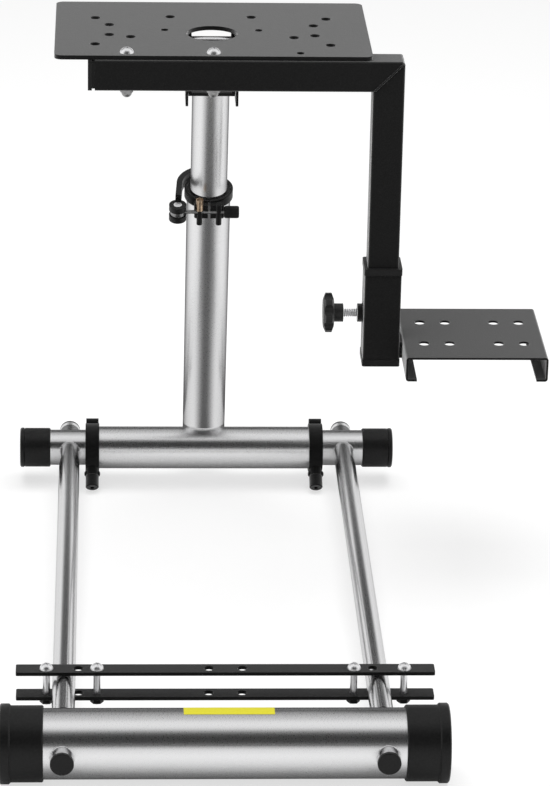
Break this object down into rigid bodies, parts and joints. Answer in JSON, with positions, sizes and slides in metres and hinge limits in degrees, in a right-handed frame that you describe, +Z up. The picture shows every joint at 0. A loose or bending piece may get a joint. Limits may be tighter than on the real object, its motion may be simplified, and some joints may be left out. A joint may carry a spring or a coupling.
{
  "type": "racing wheel stand",
  "caption": "Folding floor stand for a game racing wheel: tubular base with pedal bars, leaning telescopic post, tilting wheel plate and side arm with a shifter tray.",
  "frame": {"origin": "on the floor, below the middle of the stand's outer box", "axes": "+Z up, +Y from the pedal end towards the seat, +X to the shifter side"},
  "size_m": [0.6332, 0.9152, 0.6321],
  "materials": {
    "polished_tube": "polished stainless tube",
    "black_coat": "satin black powder coat with fine texture",
    "black_plastic": "black moulded plastic",
    "zinc": "bright zinc plate",
    "brass_pin": "plain brass"
  },
  "bodies": {
    "base": {"front_tube": "polished_tube", "rear_tube": "polished_tube", "front_cap_left": "black_plastic", "front_cap_right": "black_plastic", "rear_cap_left": "black_plastic", "rear_cap_right": "black_plastic", "side_tube_left": "polished_tube", "side_tube_right": "polished_tube", "front_plug_left": "black_plastic", "front_plug_right": "black_plastic", "rear_plug_left": "black_plastic", "rear_plug_right": "black_plastic", "collar_left": "black_coat", "collar_right": "black_coat", "collar_screw_left": "black_coat", "collar_screw_right": "black_coat"},
    "pedal_rail": {"pedal_bar_upper": "black_coat", "pedal_bar_lower": "black_coat", "pedal_bolts": "zinc", "pedal_nuts": "black_coat"},
    "lower_post": {"pivot_sleeve": "polished_tube", "sleeve_bush_left": "black_plastic", "sleeve_bush_right": "black_plastic", "outer_post": "polished_tube", "post_bush": "black_plastic", "clamp_ring": "black_coat", "clamp_pins": "black_coat", "pin_bush": "brass_pin", "clamp_bolt": "zinc", "clamp_nut": "black_plastic", "lever_pin": "zinc"},
    "lever": {"clamp_lever": "black_plastic"},
    "upper_post": {"inner_post": "polished_tube", "head_bracket": "black_coat"},
    "head": {"wheel_plate": "black_coat", "head_ear_left": "black_coat", "head_ear_right": "black_coat", "tilt_bolt": "zinc", "arm_beam": "black_coat", "arm_upright": "black_coat", "beam_plug": "black_plastic", "plate_bolts": "zinc", "plate_nuts": "zinc"},
    "shifter_mount": {"shifter_sleeve": "black_coat", "sleeve_lip_top": "black_plastic", "sleeve_lip_bottom": "black_plastic", "screw_boss": "black_coat", "tray_spacer": "black_coat", "shifter_plate": "black_coat"},
    "knob": {"clamp_knob": "black_plastic", "knob_screw": "zinc"}
  },
  "joints": [
    {"name": "pedal_slide", "type": "slide", "parent": "base", "child": "pedal_rail", "axis": [0, 1, 0], "range_m": [-0.08, 0.5]},
    {"name": "post_fold", "type": "hinge", "parent": "base", "child": "lower_post", "pos_m": [-0.0803, 0.40537, 0.043], "axis": [1, 0, 0], "range_deg": [-20, 35]},
    {"name": "clamp_lever", "type": "hinge", "parent": "lower_post", "child": "lever", "pos_m": [-0.1183, 0.30393, 0.39446], "axis": [0, -0.2588, 0.9659], "range_deg": [0, 105]},
    {"name": "post_height", "type": "slide", "parent": "lower_post", "child": "upper_post", "axis": [0, -0.2588, 0.9659], "range_m": [-0.1, 0.12]},
    {"name": "plate_tilt", "type": "hinge", "parent": "upper_post", "child": "head", "pos_m": [-0.0803, 0.30624, 0.608], "axis": [-1, 0, 0], "range_deg": [-15, 30]},
    {"name": "shifter_height", "type": "slide", "parent": "head", "child": "shifter_mount", "axis": [0, 0, 1], "range_m": [0, 0.2]},
    {"name": "knob_turn", "type": "hinge", "parent": "shifter_mount", "child": "knob", "pos_m": [0.0914, 0.20114, 0.3043], "axis": [1, 0, 0], "continuous": true}
  ]
}
